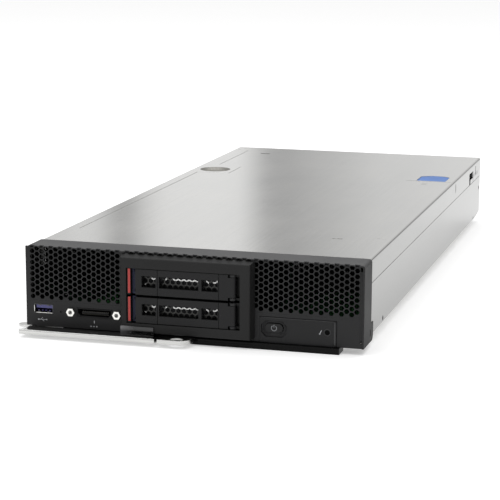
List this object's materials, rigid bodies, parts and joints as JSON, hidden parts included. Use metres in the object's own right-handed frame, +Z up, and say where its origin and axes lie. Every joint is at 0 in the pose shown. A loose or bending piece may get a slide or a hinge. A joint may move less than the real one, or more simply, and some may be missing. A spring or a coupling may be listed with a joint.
{
  "type": "blade server",
  "caption": "Half-width blade server with a sliding cover, honeycomb front, hot-swap drive trays and a swing-out release lever.",
  "frame": {"origin": "middle of the chassis underside, halfway between bezel and rear panel", "axes": "+X to the right seen from the front, +Y to the rear connectors, +Z up"},
  "size_m": [0.2215, 0.4905, 0.0547],
  "materials": {
    "zinc_steel": "satin zinc-coated sheet steel",
    "black_steel": "fine matte black powder coat",
    "black_plastic": "fine-grained moulded plastic",
    "gloss_black": "polished black plate",
    "red_plastic": "satin red plastic",
    "navy_plastic": "dark blue-grey plastic",
    "blue_plastic": "matte blue plastic",
    "usb_blue": "blue-violet insulator",
    "bright_steel": "nickel-plated steel",
    "lever_steel": "bright stainless sheet",
    "aluminium": "extruded aluminium",
    "drive_metal": "cast drive housing",
    "board_green": "solder-masked circuit board",
    "lens_black": "dark clear lens"
  },
  "bodies": {
    "chassis": {"chassis_tray": "zinc_steel", "rear_panel": "zinc_steel", "cover_pins": "bright_steel", "bezel": "black_steel", "left_grille": "black_steel", "right_grille": "black_steel", "drive_bezel": "black_plastic", "nameplate": "gloss_black", "drive_cage": "zinc_steel", "drive_backplane": "board_green", "backplane_connectors": "black_plastic", "usb_shell": "bright_steel", "usb_tongue": "usb_blue", "console_connector": "black_plastic", "jackscrews": "bright_steel", "socket_board": "board_green", "control_panel": "black_plastic", "status_lens": "lens_black", "control_board": "board_green", "power_switch": "black_plastic", "front_rail": "black_steel", "lever_pivot": "bright_steel", "system_board": "board_green", "board_standoffs": "bright_steel", "cpu_sockets": "bright_steel", "processors": "bright_steel", "front_heatsink": "aluminium", "rear_heatsink": "aluminium", "memory_sockets": "black_plastic", "memory_modules": "board_green", "air_baffles": "black_plastic", "chipset_heatsink": "aluminium", "battery": "bright_steel", "network_card": "board_green", "network_heatsink": "aluminium", "signal_connectors": "black_plastic", "power_connector": "black_plastic", "guide_sockets": "aluminium"},
    "cover": {"top_cover": "zinc_steel", "thumb_recess": "zinc_steel", "cover_latch_spring": "bright_steel"},
    "cover_pad": {"cover_latch": "blue_plastic"},
    "lever": {"release_lever": "lever_steel", "tab_rivet": "bright_steel"},
    "tab": {"lever_tab": "lever_steel"},
    "button": {"power_button": "black_plastic"},
    "lower_tray": {"lower_carrier": "navy_plastic", "lower_drive": "drive_metal", "lower_mesh": "bright_steel", "lower_strip": "red_plastic", "lower_handle_pin": "bright_steel"},
    "lower_tray_handle": {"lower_handle": "black_plastic"},
    "lower_tray_latch": {"lower_latch": "black_plastic"},
    "upper_tray": {"upper_carrier": "navy_plastic", "upper_drive": "drive_metal", "upper_mesh": "bright_steel", "upper_strip": "red_plastic", "upper_handle_pin": "bright_steel"},
    "upper_tray_handle": {"upper_handle": "black_plastic"},
    "upper_tray_latch": {"upper_latch": "black_plastic"}
  },
  "joints": [
    {"name": "cover_slide", "type": "slide", "parent": "chassis", "child": "cover", "axis": [0, 1, 0], "range_m": [0, 0.014]},
    {"name": "cover_pad_press", "type": "slide", "parent": "cover", "child": "cover_pad", "axis": [0, 0, -1], "range_m": [0, 0.0015], "stiffness_N_per_m": 600, "deforming": ["cover_latch_spring"]},
    {"name": "lever_swing", "type": "hinge", "parent": "chassis", "child": "lever", "pos_m": [-0.0985, -0.228, -0.0038], "axis": [0, 0, -1], "range_deg": [0, 60]},
    {"name": "tab_squeeze", "type": "slide", "parent": "lever", "child": "tab", "axis": [-1, 0, 0], "range_m": [0, 0.0015], "stiffness_N_per_m": 500},
    {"name": "power_press", "type": "slide", "parent": "chassis", "child": "button", "axis": [0, 1, 0], "range_m": [0, 0.0008], "stiffness_N_per_m": 1000},
    {"name": "lower_tray_slide", "type": "slide", "parent": "chassis", "child": "lower_tray", "axis": [0, -1, 0], "range_m": [0, 0.1]},
    {"name": "lower_handle_swing", "type": "hinge", "parent": "lower_tray", "child": "lower_tray_handle", "pos_m": [0.02765, -0.2358, 0.0137], "axis": [0, 0, 1], "range_deg": [0, 70]},
    {"name": "lower_latch_slide", "type": "slide", "parent": "lower_tray", "child": "lower_tray_latch", "axis": [-1, 0, 0], "range_m": [0, 0.0022], "stiffness_N_per_m": 300},
    {"name": "upper_tray_slide", "type": "slide", "parent": "chassis", "child": "upper_tray", "axis": [0, -1, 0], "range_m": [0, 0.1]},
    {"name": "upper_handle_swing", "type": "hinge", "parent": "upper_tray", "child": "upper_tray_handle", "pos_m": [0.02765, -0.2358, 0.03115], "axis": [0, 0, 1], "range_deg": [0, 70]},
    {"name": "upper_latch_slide", "type": "slide", "parent": "upper_tray", "child": "upper_tray_latch", "axis": [-1, 0, 0], "range_m": [0, 0.0022], "stiffness_N_per_m": 300}
  ]
}
